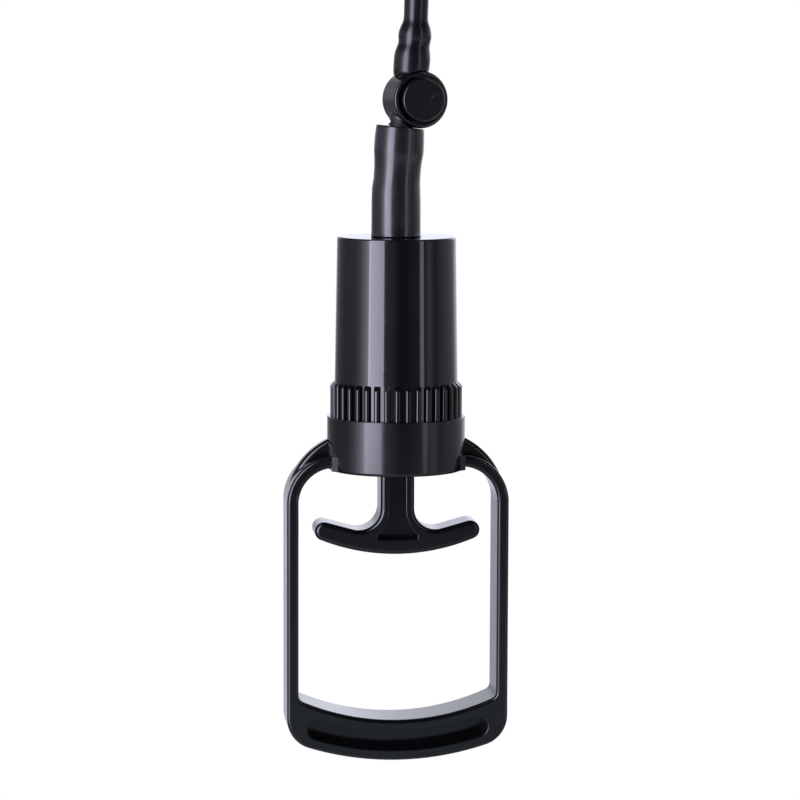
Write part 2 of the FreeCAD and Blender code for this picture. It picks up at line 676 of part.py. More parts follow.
def make_valve_body():
    """The round valve housing, with a nipple down into the sleeve and a barb up for the hose."""
    body = new_body("valve_body")
    pad(body, circle(sketch_on(body, "valve_round", "XY_Plane", "-valve_rear"),
                     "0", "0", "valve_rad"), "valve_length + valve_rear")

    def ends(edge):
        return abs(edge.BoundBox.ZLength) < 1e-6

    fillet(body, "valve_round", ends)
    nipples = sketch_on(body, "nipple_sections", "XY_Plane", "passage_mid")
    line = nipples.addGeometry(Part.LineSegment(
        Vector(-size("passage_side"), -20, 0), Vector(-size("passage_side"), 20, 0)), True)
    fix(nipples, line, 1, ("-passage_side", "-20"))
    fix(nipples, line, 2, ("-passage_side", "20"))
    up = [("0", "5"), ("nipple_rad", "5"), ("nipple_rad", "11.2"),
          ("nipple_rad + 0.6", "11.8"), ("nipple_rad + 0.6", "16"), ("nipple_rad", "17.6"),
          ("nipple_rad", "20"), ("nipple_rad + 0.2", "21.5"), ("nipple_rad + 0.1", "23"),
          ("nipple_rad - 1.2", "barb_end"), ("0", "barb_end")]
    down = [("0", "-nipple_low"), ("nipple_rad - 0.6", "-nipple_low"),
            ("nipple_rad + 0.2", "-nipple_low + 3.9"), ("nipple_rad - 0.2", "-nipple_low + 4.8"),
            ("nipple_rad - 0.2", "-lip_height"), ("lip_rad", "-lip_height"),
            ("lip_rad", "-lip_height + 0.65"), ("nipple_rad - 0.1", "-lip_height + 0.85"),
            ("nipple_rad - 0.1", "-boss_low"), ("boss_rad", "-boss_low"), ("boss_rad", "-5"),
            ("0", "-5")]
    for corners in (up, down):
        outline(nipples, [(f"{rad} - passage_side", height) for rad, height in corners])
    revolve(body, nipples, axis=(nipples, ["Axis0"]))
    passage = circle(sketch_on(body, "passage_circle", "XZ_Plane", "30"),
                     "-passage_side", "passage_mid", "passage_rad")
    pocket(body, passage)
    front = circle(sketch_on(body, "rim_circle", "XY_Plane", "valve_length"),
                   "0", "0", "rim_bore")
    pocket(body, front, "valve_length - rim_floor")
    for name, radius, depth in (("guide_circle", "guide_bore", "rim_floor"),
                                ("chamber_circle", "chamber_rad", "chamber_deep"),
                                ("cap_circle", "cap_rad", "cap_thick")):
        hole = circle(sketch_on(body, name, "XY_Plane", "-valve_rear"), "0", "0", radius)
        pocket(body, hole, f"{depth} + valve_rear", up=True)
    port = sketch_on(body, "cross_port", "XY_Plane", "chamber_deep - 0.2")
    circle(port, "-3.6", "0", "0.5")
    pocket(body, port, "1.2", up=True)
    return keep(body, VALVE_PLACE)


def make_valve_inside():
    """The button with its stem, the seal and clip on the stem's end, the spring and the cap."""
    turned_body("release_button", [
        ("0", "stem_end"), ("button_stem", "stem_end"), ("button_stem", "button_hollow"),
        ("5", "button_hollow"), ("5", "button_skirt"), ("button_rad", "button_skirt"),
        ("button_rad", "button_face - button_round", "button_round", 1),
        ("button_rad - button_round", "button_face"), ("0", "button_face"),
    ], VALVE_PLACE)
    seal_face = "chamber_deep - 0.02"
    turned_body("poppet_seal", [
        ("button_stem", f"{seal_face} - 0.8"), ("3", f"{seal_face} - 0.8"), ("3", seal_face),
        ("button_stem", seal_face),
    ], VALVE_PLACE)
    turned_body("poppet_clip", [
        ("button_stem", "stem_end + 0.2"), ("2.4", "stem_end + 0.2"),
        ("2.4", f"{seal_face} - 0.8"), ("button_stem", f"{seal_face} - 0.8"),
    ], VALVE_PLACE)
    make_coil("release_spring", "valve_spring_mean", "valve_spring_wire", "rim_floor + 0.02",
              "button_hollow - 1.65", "3", VALVE_PLACE)
    cap = doc.addObject("Part::Cylinder", "valve_cap")
    sized(cap, "Radius", "cap_rad - 0.05")
    sized(cap, "Height", "cap_thick + valve_rear")
    keep(cap, VALVE_PLACE * Placement(Vector(0, 0, -size("valve_rear")), Rotation()))


# ---------------------------------------------------------------- sleeve, hose and plug

SLEEVE_RINGS = [
    # height, side, back, radius, lean
    ("nozzle_height", "0", "0", "sleeve_low", "0"),
    ("23", "0.15", "0.04", "sleeve_waist", "1.2"),
    ("27.5", "0.32", "0.09", "sleeve_waist", "2.2"),
    ("31.5", "0.58", "0.18", "sleeve_bulge", "3.8"),
    ("35.5", "0.93", "0.29", "sleeve_top + 0.05", "5"),
    ("39.3", "1.29", "0.41", "sleeve_top", "5.6"),
]


def ring_loft(body, name, kind, radii):
    """A loft through circles along the sleeve's line."""
    sections = []
    for number, (height, side, back, _, lean) in enumerate(SLEEVE_RINGS):
        section = sketch_on(body, f"{name}_{number}", "XY_Plane", height)
        section.AttachmentOffset = Placement(
            Vector(measure(side), measure(back), measure(height)),
            Rotation(Vector(0, 1, 0), measure(lean)),
        )
        circle(section, "0", "0", radii[number])
        sections.append(section)
    loft = body.newObject(kind, name)
    loft.Profile = sections[0]
    loft.Sections = sections[1:]
    loft.Ruled = True
    doc.recompute()


def make_rubber_sleeve():
    """The stepped rubber tube pushed over the barrel's nozzle and the valve's lower nipple."""
    body = new_body("rubber_sleeve")
    foot = circle(sketch_on(body, "sleeve_foot", "XY_Plane"), "0", "0", "sleeve_low")
    pad(body, foot, "nozzle_height")
    ring_loft(body, "sleeve_neck", "PartDesign::AdditiveLoft",
              [ring[3] for ring in SLEEVE_RINGS])
    drill(body, "sleeve_socket", [("0", "0")], "nozzle_rad", "nozzle_height", "nozzle_height")
    ring_loft(body, "sleeve_channel", "PartDesign::SubtractiveLoft",
              ["sleeve_bore"] * len(SLEEVE_RINGS))
    return keep(body)


# The hose's line from its stretched end on the barb up to the plug: side, back, height.
HOSE_ROUTE = [
    (5.05, 1.54, 60.5), (6.75, 2.05, 70.8), (7.55, 2.35, 91),
    (size("plug_side"), size("plug_back"), 113),
    (size("plug_side"), size("plug_back"), size("hose_end")),
]


def tube_path(points):
    """Straight runs joined by tangent arcs as large as the runs allow, and the radii."""
    points = [Vector(*point) for point in points]
    edges = []
    radii = []
    start = points[0]
    for before, corner, after in zip(points, points[1:], points[2:]):
        arrive = (corner - before).normalize()
        leave = (after - corner).normalize()
        half_turn = arrive.getAngle(leave) / 2
        setback = 0.45 * min((corner - before).Length, (after - corner).Length)
        radius = setback / math.tan(half_turn)
        radii.append(round(radius, 1))
        first = corner - arrive * setback
        last = corner + leave * setback
        inward = (leave - arrive).normalize()
        middle = corner + inward * (radius / math.cos(half_turn) - radius)
        edges.append(Part.LineSegment(start, first).toShape())
        edges.append(Part.Arc(first, middle, last).toShape())
        start = last
    edges.append(Part.LineSegment(start, points[-1]).toShape())
    return Part.Wire(edges), radii


def sweep(path, radius):
    """A solid of round section along a path."""
    start = path.Edges[0]
    ring = Part.Wire(Part.makeCircle(
        radius, start.valueAt(start.FirstParameter), start.tangentAt(start.FirstParameter)))
    solid = path.makePipeShell([ring], True, False)
    return solid if solid.Volume > 0 else solid.reversed()


def make_hose():
    """The soft hose, and its end stretched wide over the barb's two ridges."""
    path, radii = tube_path(HOSE_ROUTE)
    outside = sweep(path, size("hose_rad"))
    section_area = math.pi * size("hose_rad") ** 2
    print(f"hose: length {path.Length:.2f} mm, arc radii {radii} mm,"
          f" volume / (section x length) {outside.Volume / (section_area * path.Length):.4f}")
    end = Vector(*HOSE_ROUTE[0])
    along = (Vector(*HOSE_ROUTE[1]) - end).normalize()
    flare = [
        (0, 0), (size("flare_rad") - 0.7, 0), (size("flare_rad"), 0.8), (size("flare_rad"), 5.2),
        (size("flare_waist"), 8), (size("flare_waist") + 0.1, 11), (5.6, 13.5),
        (size("hose_rad") - 0.1, size("flare_end")), (0, size("flare_end")),
    ]
    corners = [Vector(rad, 0, up) for rad, up in flare]
    face = Part.Face(Part.makePolygon(corners + corners[:1]))
    bulb = face.revolve(Vector(0, 0, 0), Vector(0, 0, 1), 360)
    bulb.Placement = Placement(end, Rotation(Vector(0, 0, 1), along))
    hose = doc.addObject("Part::Feature", "hose")
    hose.Shape = outside.fuse(bulb).cut(sweep(path, size("hose_bore"))).removeSplitter()
    return keep(hose)


def make_hose_plug():
    """The barbed plug on the hose's end, with a hexagon to turn it by and a smooth pin."""
    body = new_body("hose_plug")
    end = "hose_end"
    pin = "plug_height - pin_length / 2"
    revolve(body, outline(sketch_on(body, "plug_section", "XZ_Plane"), [
        ("plug_bore", f"{end} - tail_length"), ("2.3", f"{end} - tail_length"),
        ("tail_ridge", f"{end} - 11.5"), ("tail_rad", f"{end} - 11"),
        ("tail_rad", f"{end} - 9"), ("tail_ridge", f"{end} - 6.5"),
        ("tail_rad", f"{end} - 6"), ("tail_rad", end), ("flange_rad", end),
        ("flange_rad", f"{end} + flange_thick"), ("5.2", f"{end} + flange_thick"),
        ("5.2", f"{pin} - 2 * ring_wire"),
        ("pin_rad - ring_wire", f"{pin} - 2 * ring_wire"), ("pin_rad - ring_wire", pin),
        ("pin_rad", pin), ("pin_rad", f"{pin} + pin_length - 0.6"),
        ("pin_rad - 0.6", f"{pin} + pin_length"), ("plug_bore", f"{pin} + pin_length"),
    ]))
    hexagon = sketch_on(body, "hexagon", "XY_Plane", f"{end} + flange_thick")
    corners = [(f"grip_flats / sqrt(3) * {math.cos(math.radians(60 * n)):.6f}",
                f"grip_flats / sqrt(3) * {math.sin(math.radians(60 * n)):.6f}")
               for n in range(6)]
    outline(hexagon, corners)
    circle(hexagon, "0", "0", "5")
    pad(body, hexagon, f"{pin} - 2 * ring_wire - {end} - flange_thick")
    plug_place = PUMP_PLACE * Placement(Vector(size("plug_side"), size("plug_back"), 0),
                                        Rotation())
    keep(body, plug_place)
    ring = doc.addObject("Part::Torus", "plug_oring")
    sized(ring, "Radius1", "pin_rad")
    sized(ring, "Radius2", "ring_wire")
    height = measure(f"{pin} - ring_wire")
    keep(ring, plug_place * Placement(Vector(0, 0, height), Rotation()))


# ---------------------------------------------------------------- build, check and write

make_barrel()
make_palm_frame()
make_pull_handle()
make_piston()
make_piston_seals()
make_piston_screw()
make_coil("return_spring", "spring_mean", "spring_wire", "-collar_bottom + collar_floor",
          "-stem_top - 0.05", "spring_turns", PUMP_PLACE)
make_valve_body()
make_valve_inside()
make_rubber_sleeve()
make_hose()
make_hose_plug()
doc.recompute()

for item in doc.Objects:
    if {"Invalid", "Error"} & set(item.State):
        raise ValueError(f"{item.Name} failed: {item.State}")
os.makedirs("parts", exist_ok=True)
for item in sub_parts:
    shape = item.Shape
    if shape.isNull() or not shape.isValid():
        raise ValueError(f"{item.Label} has no valid shape")
    box = shape.BoundBox
    print(f"{item.Label:16s} solids {len(shape.Solids)}  volume {shape.Volume / 1000:8.3f} cm3"
          f"  x {box.XMin:7.2f} {box.XMax:7.2f}  y {box.YMin:7.2f} {box.YMax:7.2f}"
          f"  z {box.ZMin:8.2f} {box.ZMax:8.2f}")
    shape.exportStep(f"parts/{item.Label}.step")
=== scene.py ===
# %% [markdown]
# # A one-hand pull-grip pump in black plastic
#
# The real object is a small hand pump. A palm pushes on the D-shaped frame while two fingers
# pull the T towards it, a spring sends the T back, and a round valve above the barrel lets the
# pressure go. The engineering model already has every hard part at its true size, so this
# script makes what that model is bad at: the soft hose and the rubber sleeve, the finish of
# each plastic, and the light that gloss black needs before it shows any shape at all.
#
# Everything is in metres and in the engineering model's own frame: the origin is halfway up
# the pin of the hose's plug, z is up along the hose, and the front is towards -y.

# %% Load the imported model
import json
import math
import bmesh
import bpy
from mathutils import Matrix, Vector, noise


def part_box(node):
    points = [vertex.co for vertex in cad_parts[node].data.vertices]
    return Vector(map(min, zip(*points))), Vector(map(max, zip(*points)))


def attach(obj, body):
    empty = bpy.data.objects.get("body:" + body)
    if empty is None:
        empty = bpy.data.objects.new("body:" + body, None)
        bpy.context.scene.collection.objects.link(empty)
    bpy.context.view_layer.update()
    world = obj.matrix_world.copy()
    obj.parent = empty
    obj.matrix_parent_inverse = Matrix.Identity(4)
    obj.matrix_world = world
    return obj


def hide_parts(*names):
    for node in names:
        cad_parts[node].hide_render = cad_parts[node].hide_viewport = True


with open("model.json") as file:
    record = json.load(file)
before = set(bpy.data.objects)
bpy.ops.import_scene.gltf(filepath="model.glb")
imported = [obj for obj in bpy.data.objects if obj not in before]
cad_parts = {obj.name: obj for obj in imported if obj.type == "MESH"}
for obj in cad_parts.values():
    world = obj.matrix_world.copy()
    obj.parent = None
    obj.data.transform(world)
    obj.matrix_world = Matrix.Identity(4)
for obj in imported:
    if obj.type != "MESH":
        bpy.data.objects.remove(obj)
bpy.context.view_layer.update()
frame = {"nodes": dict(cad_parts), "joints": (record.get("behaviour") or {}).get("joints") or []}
nodes = frame["nodes"]
MM = 0.001

# %% [markdown]
# ## The camera
#
# The pump is seen from far away through a long lens, so that the barrel keeps straight
# sides. The camera stands more than a metre off, a little to the left, and looks down a few
# degrees, which is why the top of the palm bar and the left faces of the frame show. Its
# location and turn are set as one matrix: first the place, then the turn about the
# vertical, then the tilt, then a trace of roll.

# %% Place the camera
LENS, CAMERA_REACH = 144, 20
CAMERA_PLACE = Vector((-135.38, -1151.98, -86.81)) * MM
CAMERA_TURN, CAMERA_DOWN, CAMERA_ROLL = math.radians(-6.4), math.radians(6.3), math.radians(0.2)

camera = bpy.data.objects.new("camera", bpy.data.cameras.new("camera"))
bpy.context.scene.collection.objects.link(camera)
camera.data.lens = LENS
camera.data.clip_end = CAMERA_REACH
camera.matrix_world = (
    Matrix.Translation(CAMERA_PLACE)
    @ Matrix.Rotation(CAMERA_TURN, 4, "Z")
    @ Matrix.Rotation(math.pi / 2 - CAMERA_DOWN, 4, "X")
    @ Matrix.Rotation(CAMERA_ROLL, 4, "Z")
)
bpy.context.scene.camera = camera
print("camera at", [round(c, 3) for c in camera.matrix_world.translation])

# %% [markdown]
# ## The line of the hose
#
# A hose is a fixed length of something bendy, so its centreline comes first and its skin
# second. The engineering model gives the route as five points. Used as the corners of a
# NURBS curve they give one smooth bend with no kinks. The order is set after the points are
# added: set before, it silently stays at 2, which would join them with straight runs.
# Blender turns such a curve into a plain chain of points when asked for its mesh.

# %% Draw the hose's line and read it back
HOSE_ROUTE = [
    (-3.0, -0.95, -94.5), (-1.3, -0.45, -86), (-0.72, -0.2, -72), (-0.15, 0, -42), (0, 0, -20),
]
LINE_STEPS = 48


def nurbs_line(name, corners):
    """The points of a smooth line with these control points."""
    curve = bpy.data.curves.new(name, "CURVE")
    curve.dimensions = "3D"
    spline = curve.splines.new("NURBS")
    spline.points.add(len(corners) - 1)
    for point, corner in zip(spline.points, corners):
        point.co = (*corner, 1)
    spline.order_u = 3
    spline.use_endpoint_u = True
    spline.resolution_u = LINE_STEPS
    drawn = bpy.data.objects.new(name, curve)
    bpy.context.scene.collection.objects.link(drawn)
    mesh = bpy.data.meshes.new_from_object(drawn)
    line = [vertex.co.copy() for vertex in mesh.vertices]
    bpy.data.meshes.remove(mesh)
    bpy.data.objects.remove(drawn)
    return line


hose_line = nurbs_line("hose_line", [Vector(corner) * MM for corner in HOSE_ROUTE])

# %% [markdown]
# ## A helper that grows a skin ring by ring
#
# Both soft parts are tubes whose width changes along their length. Sweeping a fixed circle
# can't do that, so the skin is grown instead: one circle is made, its edges are extruded,
# and the new ring is moved, turned and scaled into the next station. The same operator
# carries on over the rim and back down the inside, and a bridge closes it, so the tube is a
# real wall with a thickness and has no open edge.

# %% Define the ring helpers
def ring_place(centre, along, radius):
    """The matrix that puts a unit circle round a centre, facing along a direction."""
    turn = Vector((0, 0, 1)).rotation_difference(along).to_matrix().to_4x4()
    return Matrix.Translation(centre) @ turn @ Matrix.Scale(radius, 4)


def grow_tube(places, sides):
    """A bmesh tube through unit circles at the places, with its last ring joined to its first."""
    bm = bmesh.new()
    bmesh.ops.create_circle(bm, segments=sides, radius=1, matrix=places[0])
    first = bm.edges[:]
    edges = first
    for before, after in zip(places, places[1:]):
        grown = bmesh.ops.extrude_edge_only(bm, edges=edges)["geom"]
        verts = [item for item in grown if isinstance(item, bmesh.types.BMVert)]
        edges = [item for item in grown if isinstance(item, bmesh.types.BMEdge)]
        bmesh.ops.transform(bm, matrix=after @ before.inverted(), verts=verts)
    bmesh.ops.bridge_loops(bm, edges=first + edges)
    bmesh.ops.recalc_face_normals(bm, faces=bm.faces)
    return bm


def finish_mesh(bm, name, body="pump"):
    """Turn a bmesh into a smooth object of that name that rides on a body."""
    mesh = bpy.data.meshes.new(name)
    bm.to_mesh(mesh)
    bm.free()
    mesh.shade_smooth()
    piece = bpy.data.objects.new(name, mesh)
    bpy.context.scene.collection.objects.link(piece)
    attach(piece, body)
    print(f"{name}: {len(mesh.polygons)} faces")
    return piece

# %% [markdown]
# ## The hose
#
# The hose is soft rubber, pushed with some force over the valve's barb, and that is what
# gives it its look: it swells over each ridge of the barb, pulls in between them, and its end
# droops onto the round valve and is not cut quite square. A plain sweep shows none of this.
# So the radius comes from a short table of distances from the end, the rings near the end
# lean back a little, and the corners of the table are then smoothed away.

# %% Set the hose's shape
HOSE_RADIUS, HOSE_BORE = 4.5 * MM, 2.5 * MM
HOSE_SHAPE = [
    # distance from the end, radius
    (0.0, 5.6), (0.4, 6.2), (1.2, 6.42), (2.4, 6.55), (4.0, 6.6), (5.4, 6.48), (6.8, 6.15),
    (8.0, 5.85), (9.2, 5.74), (10.4, 5.86), (11.6, 6.02), (13.2, 5.86), (14.8, 5.42),
    (16.0, 4.95), (17.2, 4.55), (19, 4.4), (24, 4.42), (30, 4.5),
]
HOSE_END_RADIUS = 6.55 * MM
BORE_SWELL = 1.15   # the bore is stretched a little more than the skin
HOSE_SIDES = 72
END_LEAN = math.radians(3)
END_LEAN_REACH = 6 * MM
# the end droops most at its lip, and more on its left, up to a limit
DROOP_REACH, DROOP, DROOP_SIDE, DROOP_LIMIT = 7.5 * MM, 4.2 * MM, 1.6 * MM, 1.2
print("hose: widest", max(radius for _, radius in HOSE_SHAPE), "mm in radius, near its end")


def table_value(table, distance):
    """The value of a table of (distance, value), both in mm, at a distance in metres, on a
    smooth curve through its rows."""
    along = distance / MM
    number = sum(row[0] <= along for row in table[1:-1])
    before, start = table[max(number - 1, 0)], table[number]
    end, after = table[number + 1], table[min(number + 2, len(table) - 1)]
    gap = end[0] - start[0]
    share = min(max(along - start[0], 0) / gap, 1)
    leave = (end[1] - before[1]) / (end[0] - before[0]) * gap
    arrive = (after[1] - start[1]) / (after[0] - start[0]) * gap
    square, cube = share ** 2, share ** 3
    return MM * (start[1] * (2 * cube - 3 * square + 1) + leave * (cube - 2 * square + share)
                 + end[1] * (3 * square - 2 * cube) + arrive * (cube - square))


def line_stations(line):
    """Each point of a line with its distance from the start and the direction there."""
    found = []
    distance = 0
    for number, point in enumerate(line):
        before = line[max(number - 1, 0)]
        after = line[min(number + 1, len(line) - 1)]
        distance += (point - before).length
        found.append((point, distance, (after - before).normalized()))
    return found


def hose_ring(point, distance, along, inside):
    """A place for one ring of the hose's outer or inner skin."""
    lean = END_LEAN * max(1 - distance / END_LEAN_REACH, 0)
    radius = table_value(HOSE_SHAPE, distance)
    if inside:
        radius = HOSE_BORE + (radius - HOSE_RADIUS) * BORE_SWELL
    return ring_place(point, Matrix.Rotation(-lean, 3, "X") @ along, radius)


# %% Grow the hose and let its end rest on the valve
stations = line_stations(hose_line)
hose_places = [hose_ring(*station, inside=False) for station in reversed(stations)]
hose_places += [hose_ring(*station, inside=True) for station in stations]
hose_mesh = grow_tube(hose_places, HOSE_SIDES)
bmesh.ops.smooth_vert(hose_mesh, verts=hose_mesh.verts[:], factor=0.5,
                      use_axis_x=True, use_axis_y=True, use_axis_z=True)
hose_end = hose_line[0]
for vertex in hose_mesh.verts:
    share = max(1 - (vertex.co.z - hose_end.z) / DROOP_REACH, 0) ** 2
    left = (hose_end.x - vertex.co.x) / HOSE_END_RADIUS
    vertex.co.z -= min(share, DROOP_LIMIT) * (DROOP + DROOP_SIDE * left)
print("hose skin:", len(hose_mesh.verts), "points")

# %% [markdown]
# The valve's housing is a cylinder round the line on which its button moves, so the joint
# gives its axis, and the cap at its rear gives a point on it. Rubber that would end up inside
# the housing is pushed out to its surface.

# %% Keep the rubber out of the valve
VALVE_CLEAR = 10.35 * MM   # just over the housing's radius
cap_low, cap_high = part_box("valve_cap")
valve_rear = (cap_low + cap_high) / 2
button_joint = next(joint for joint in frame["joints"] if joint["name"] == "button_press")
valve_axis = -Vector(button_joint["axis"]).normalized()


def keep_off_valve(bm):
    """Push any vertex inside the round valve out to just over its surface."""
    for vertex in bm.verts:
        away = vertex.co - valve_rear
        away -= valve_axis * away.dot(valve_axis)
        if away.length < VALVE_CLEAR:
            vertex.co += away.normalized() * (VALVE_CLEAR - away.length)


keep_off_valve(hose_mesh)
hose = finish_mesh(hose_mesh, "supply_hose")
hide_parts("hose")

# %% [markdown]
# ## The rubber sleeve
#
# A thick rubber tube joins the barrel's nozzle to the valve, and lets the valve be turned
# and bent by hand. It has taken a set: it leans and pulls in at the height where the nozzle
# ends, and swells again over the valve's lower nipple. It is made the same way as the hose,
# from rings, each with its own place, lean and width, and a faint unevenness is pushed into
# the skin afterwards, because rubber of this kind is never perfectly round.

# %% Set the sleeve's shape
BARREL_TOP = Vector((-7.9, -2.45, -155)) * MM
sleeve_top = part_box("rubber_sleeve")[1].z
SLEEVE_SHAPE = [
    # height, side, back, radius, lean
    (0.0, -0.2, 0, 8.9, 0), (0.35, -0.2, 0, 9.12, 0), (1.2, -0.2, 0, 8.95, 0),
    (9, -0.2, 0, 8.95, 0), (14, -0.19, 0, 8.93, 0.5), (17.5, -0.16, 0.03, 8.8, 1.8),
    (20.8, 0.1, 0.07, 8.5, 3.0), (24, 0.3, 0.13, 8.48, 3.5), (27, 0.48, 0.19, 8.62, 3.8),
    (30.5, 0.72, 0.26, 9.0, 4.2), (33, 0.87, 0.31, 9.04, 4.7), (36, 1.04, 0.37, 8.95, 5.2),
    (39.15, 1.26, 0.42, 8.76, 5.6), (39.55, 1.29, 0.43, 8.5, 5.6),
]
SLEEVE_SIDES = 72
SLEEVE_STEPS = 5
SLEEVE_BORE, SLEEVE_LIP, LIP_DROP = 3.95, 0.35, 0.3
# the wide part of the bore, round the barrel's nozzle
SOCKET_TOP, SOCKET_RADIUS, SOCKET_PLACE, SOCKET_LEAN = 17.5, 6.2, (0.1, 0.04), 1.6
SMOOTH_PASSES = 3
UNEVEN, UNEVEN_PER_METRE = 0.05 * MM, 90
print(f"sleeve: its top is {(sleeve_top - BARREL_TOP.z) / MM:.1f} mm above the barrel")


def sleeve_ring(height, side, back, radius, lean):
    """A place for one ring of the sleeve, with sizes in mm and the lean in degrees."""
    along = Matrix.Rotation(math.radians(lean), 3, "Y") @ Vector((0, 0, 1))
    return ring_place(BARREL_TOP + Vector((side, back, height)) * MM, along, radius * MM)


def eased(rows, steps):
    """The rows with steps - 1 more between each pair."""
    found = []
    for start, end in zip(rows, rows[1:]):
        for step in range(steps):
            share = step / steps
            found.append([a + (b - a) * share for a, b in zip(start, end)])
    return found + [list(rows[-1])]


# %% Grow the sleeve
outer_rows = eased(SLEEVE_SHAPE, SLEEVE_STEPS)
top_row, foot_row = list(SLEEVE_SHAPE[-1]), list(SLEEVE_SHAPE[0])
inner_rows = [top_row[:3] + [SLEEVE_BORE + SLEEVE_LIP, top_row[4]],
              top_row[:3] + [SLEEVE_BORE, top_row[4]]]
inner_rows[0][0] -= LIP_DROP
inner_rows[1][0] -= LIP_DROP + SLEEVE_LIP
inner_rows += [[SOCKET_TOP, *SOCKET_PLACE, SLEEVE_BORE, SOCKET_LEAN],
               [SOCKET_TOP - LIP_DROP, *SOCKET_PLACE, SOCKET_RADIUS, SOCKET_LEAN],
               foot_row[:3] + [SOCKET_RADIUS, 0]]
sleeve_mesh = grow_tube([sleeve_ring(*row) for row in outer_rows + inner_rows], SLEEVE_SIDES)
skin = [vertex for vertex in sleeve_mesh.verts
        if BARREL_TOP.z + MM < vertex.co.z < sleeve_top - MM]
for _ in range(SMOOTH_PASSES):
    bmesh.ops.smooth_vert(sleeve_mesh, verts=skin, factor=0.5,
                          use_axis_x=True, use_axis_y=True, use_axis_z=True)
sleeve_mesh.normal_update()
for vertex in skin:
    vertex.co += vertex.normal * noise.noise(vertex.co * UNEVEN_PER_METRE) * UNEVEN
keep_off_valve(sleeve_mesh)
sleeve = finish_mesh(sleeve_mesh, "joint_sleeve")
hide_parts("rubber_sleeve")

# %% [markdown]
# ## Small helpers for node trees
#
# Every finish below is procedural: noise and waves worked out from the object's own
# coordinates, with no pictures. Adding a node, setting its sockets and wiring it takes one
# line each with these helpers, so that the recipes stay readable.

# %% Define the node helpers
def add(tree, kind, sockets=None, **settings):
    """A new node with its settings and its input sockets' values."""
    node = tree.nodes.new(kind)
    for name, value in settings.items():
        setattr(node, name, value)
    for name, value in (sockets or {}).items():
        node.inputs[name].default_value = value
    return node


def wire(tree, *ends):
    """Join (node, output name) to (node, input name), for each pair of ends."""
    for (source, output), (target, entry) in zip(ends[::2], ends[1::2]):
        tree.links.new(source.outputs[output], target.inputs[entry])


def new_group(name, inputs, outputs):
    """An empty shader group. Inputs are (name, kind, value) and outputs (name, kind)."""
    tree = bpy.data.node_groups.new(name, "ShaderNodeTree")
    for label, kind, value in inputs:
        socket = tree.interface.new_socket(label, in_out="INPUT", socket_type=kind)
        socket.default_value = value
    for label, kind in outputs:
        tree.interface.new_socket(label, in_out="OUTPUT", socket_type=kind)
    return tree, add(tree, "NodeGroupInput"), add(tree, "NodeGroupOutput")


def use(tree, group, **values):
    """A group placed in a tree, with its inputs' values; _ stands for a space in a name."""
    node = add(tree, "ShaderNodeGroup", node_tree=group)
    for name, value in values.items():
        node.inputs[name.replace("_", " ")].default_value = value
    return node


# %% [markdown]
# ## Shared effect: the skin of a moulding
#
# Even a polished moulding isn't flat. It has broad, shallow waves where the plastic shrank
# as it cooled, which bend long reflections a little, and a fine grain from the mould's own
# steel. One group makes both as a height, in metres, which each material feeds to its Bump
# node. It also puts out a slow mask that tints and dulls the surface unevenly.

# %% Build the moulded skin group
FLOAT = "NodeSocketFloat"
skin_group, skin_in, skin_out = new_group(
    "moulded skin",
    [("Wave Size", FLOAT, 0.012), ("Wave Depth", FLOAT, 0.00001),
     ("Grain Size", FLOAT, 0.0004), ("Grain Depth", FLOAT, 0.000001)],
    [("Height", FLOAT), ("Mask", FLOAT)],
)
place = add(skin_group, "ShaderNodeTexCoord")


def sized_noise(group, place, inputs, size_name, detail):
    """A noise over a place, whose features have the size of one of the group's inputs."""
    per_metre = add(group, "ShaderNodeMath", {0: 1.0}, operation="DIVIDE")
    texture = add(group, "ShaderNodeTexNoise", {"Detail": detail})
    wire(group, (inputs, size_name), (per_metre, 1), (per_metre, 0), (texture, "Scale"),
         (place, "Object"), (texture, "Vector"))
    return texture


waves = sized_noise(skin_group, place, skin_in, "Wave Size", 1.5)
grain = sized_noise(skin_group, place, skin_in, "Grain Size", 3.0)
deep_waves = add(skin_group, "ShaderNodeMath", operation="MULTIPLY")
deep_grain = add(skin_group, "ShaderNodeMath", operation="MULTIPLY")
both = add(skin_group, "ShaderNodeMath", operation="ADD")
wire(skin_group, (waves, 0), (deep_waves, 0), (skin_in, "Wave Depth"), (deep_waves, 1),
     (grain, 0), (deep_grain, 0), (skin_in, "Grain Depth"), (deep_grain, 1),
     (deep_waves, 0), (both, 0), (deep_grain, 0), (both, 1),
     (both, 0), (skin_out, "Height"), (waves, 0), (skin_out, "Mask"))
print("group:", skin_group.name, len(skin_group.nodes), "nodes")

# %% [markdown]
# ## Shared effect: hairlines and dust from handling
#
# A pump that is squeezed picks up faint hairline scratches, and dust sits on anything black.
# Hairlines are made from stretched noise: only the thin crest where the noise crosses its
# middle value is kept, so it draws fine wandering lines, and a second, smoother noise breaks
# them into patches. Dust is a Voronoi texture: a dot at each cell's centre, with most dots
# switched off by the cell's random colour.

# %% Build the handling group
marks_group, marks_in, marks_out = new_group(
    "hairlines and dust",
    [("Hairline Size", FLOAT, 0.006), ("Hairline Width", FLOAT, 0.012),
     ("Speck Size", FLOAT, 0.0012), ("Speck Share", FLOAT, 0.06)],
    [("Hairlines", FLOAT), ("Dust", FLOAT)],
)
place = add(marks_group, "ShaderNodeTexCoord")
stretch = add(marks_group, "ShaderNodeMapping", {"Rotation": (0.4, 0.3, 0.9),
                                                 "Scale": (1.0, 1.0, 0.16)})
lines = sized_noise(marks_group, place, marks_in, "Hairline Size", 2.0)
patches = sized_noise(marks_group, place, marks_in, "Hairline Size", 0.0)
wire(marks_group, (place, "Object"), (stretch, "Vector"), (stretch, 0), (lines, "Vector"))
off_middle = add(marks_group, "ShaderNodeMath", {1: 0.5}, operation="SUBTRACT")
distance = add(marks_group, "ShaderNodeMath", operation="ABSOLUTE")
